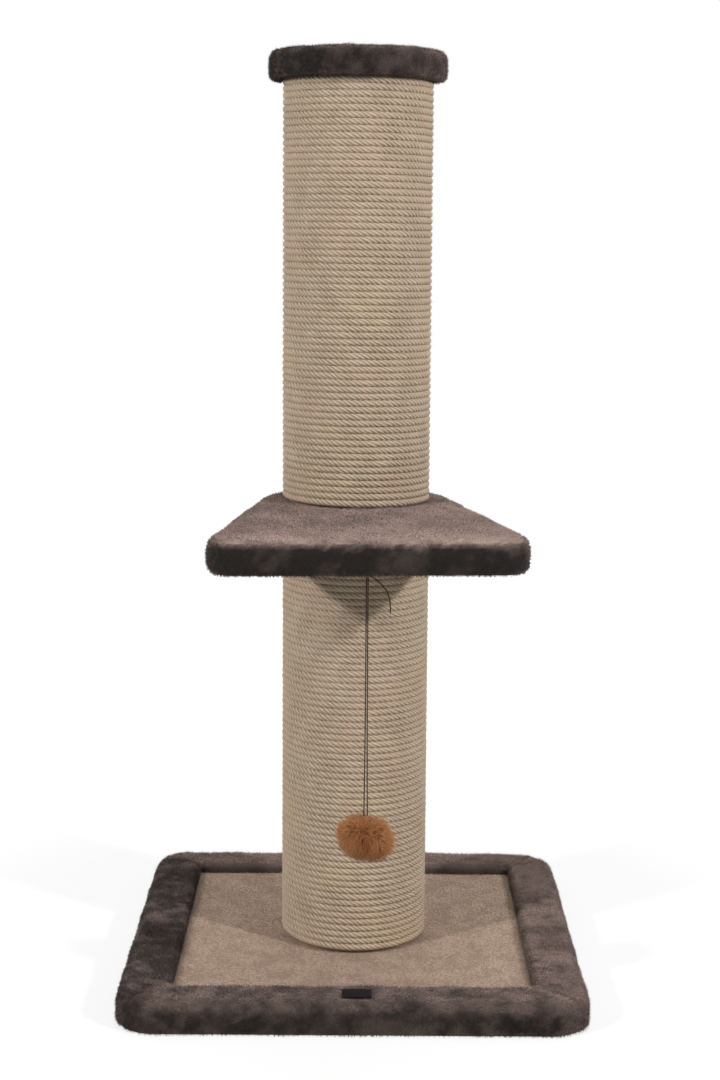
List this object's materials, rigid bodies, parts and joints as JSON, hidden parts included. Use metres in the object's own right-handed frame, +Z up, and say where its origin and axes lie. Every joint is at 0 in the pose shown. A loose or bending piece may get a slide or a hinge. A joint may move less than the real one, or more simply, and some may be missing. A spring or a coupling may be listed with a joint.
{
  "type": "cat scratching post",
  "caption": "Tall rope-wound cat scratching post with a square plush-rimmed carpet base, a padded perch halfway up, a round padded cap and a pompom on an elastic string.",
  "frame": {"origin": "middle of the base's underside, on the post's axis, at floor height", "axes": "+Z up along the post, -Y to the front, where the perch reaches out and the toy hangs, +X to the right seen from the front"},
  "size_m": [0.45, 0.4948, 0.916],
  "materials": {
    "plush": "short grey-mauve plush pile",
    "carpet": "mottled beige needle felt",
    "backing": "thin dark non-woven felt",
    "foam": "soft open-cell foam",
    "board": "bare fibreboard",
    "card": "wound brown card",
    "sisal": "three-strand natural sisal rope",
    "steel": "zinc plated",
    "elastic": "covered black elastic",
    "fur": "long orange-brown pile",
    "tag": "bare black woven ribbon"
  },
  "bodies": {
    "stand": {"rim_cover_front": "plush", "rim_cover_right": "plush", "rim_cover_back": "plush", "rim_cover_left": "plush", "platform_cover": "plush", "platform_underside": "plush", "cap_cover": "plush", "carpet_panel": "carpet", "base_backing": "backing", "rim_foam_front": "foam", "rim_foam_right": "foam", "rim_foam_back": "foam", "rim_foam_left": "foam", "platform_padding": "foam", "cap_padding": "foam", "base_board": "board", "platform_board": "board", "cap_board": "board", "lower_bottom_plug": "board", "lower_top_plug": "board", "upper_bottom_plug": "board", "upper_top_plug": "board", "lower_tube": "card", "upper_tube": "card", "lower_rope_1": "sisal", "lower_rope_2": "sisal", "lower_rope_3": "sisal", "upper_rope_1": "sisal", "upper_rope_2": "sisal", "upper_rope_3": "sisal", "base_bolt": "steel", "base_washer": "steel", "joining_stud": "steel", "tee_nuts": "steel", "cap_screws": "steel", "toy_staple": "steel", "blank_tag": "tag"},
    "loop": {"string_loop": "elastic"},
    "string": {"string_knot": "elastic", "string_left": "elastic", "string_right": "elastic", "string_tail": "elastic"},
    "pompom": {"pompom": "fur"}
  },
  "joints": [
    {"name": "toy_swing_fore_aft", "type": "hinge", "parent": "stand", "child": "loop", "pos_m": [0.0112, -0.19468, 0.4368], "axis": [0.9986, 0.0523, 0], "range_deg": [-70, 15]},
    {"name": "toy_swing_sideways", "type": "hinge", "parent": "loop", "child": "string", "pos_m": [0.0112, -0.19468, 0.4311], "axis": [-0.0523, 0.9986, 0], "range_deg": [-55, 55]},
    {"name": "pompom_pull", "type": "slide", "parent": "string", "child": "pompom", "axis": [0, 0, -1], "range_m": [0, 0.06], "stiffness_N_per_m": 20, "springref_m": -0.008, "deforming": ["string_left", "string_right"]}
  ]
}
